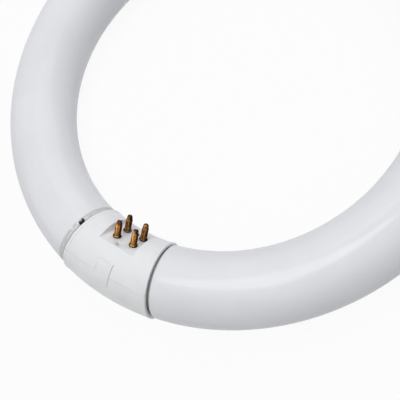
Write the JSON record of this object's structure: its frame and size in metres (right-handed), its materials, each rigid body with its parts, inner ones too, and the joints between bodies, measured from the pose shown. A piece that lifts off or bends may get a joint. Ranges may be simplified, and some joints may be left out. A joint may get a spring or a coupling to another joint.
{
  "type": "circular fluorescent tube",
  "caption": "Ring-shaped fluorescent tube of white-coated glass whose necked ends meet in a moulded snap-together base with slanting brass contact pins.",
  "frame": {"origin": "middle of the ring, on its axis and at the height of the tube's centre line", "axes": "+Z along the ring's axis, to the side where the pins rise; the base sits at -Y"},
  "size_m": [0.205, 0.2055, 0.0302],
  "materials": {
    "coated_glass": "smooth glass, white-coated inside",
    "base_plastic": "moulded, satin",
    "pin_brass": "turned and tarnished",
    "lead_metal": "bare drawn wire"
  },
  "bodies": {
    "root": {"glass_tube": "coated_glass", "base_pin_half": "base_plastic", "base_back_half": "base_plastic", "contact_pin_1": "pin_brass", "contact_pin_2": "pin_brass", "contact_pin_3": "pin_brass", "contact_pin_4": "pin_brass", "lead_wire_1": "lead_metal", "lead_wire_2": "lead_metal", "lead_wire_3": "lead_metal", "lead_wire_4": "lead_metal"}
  },
  "joints": []
}
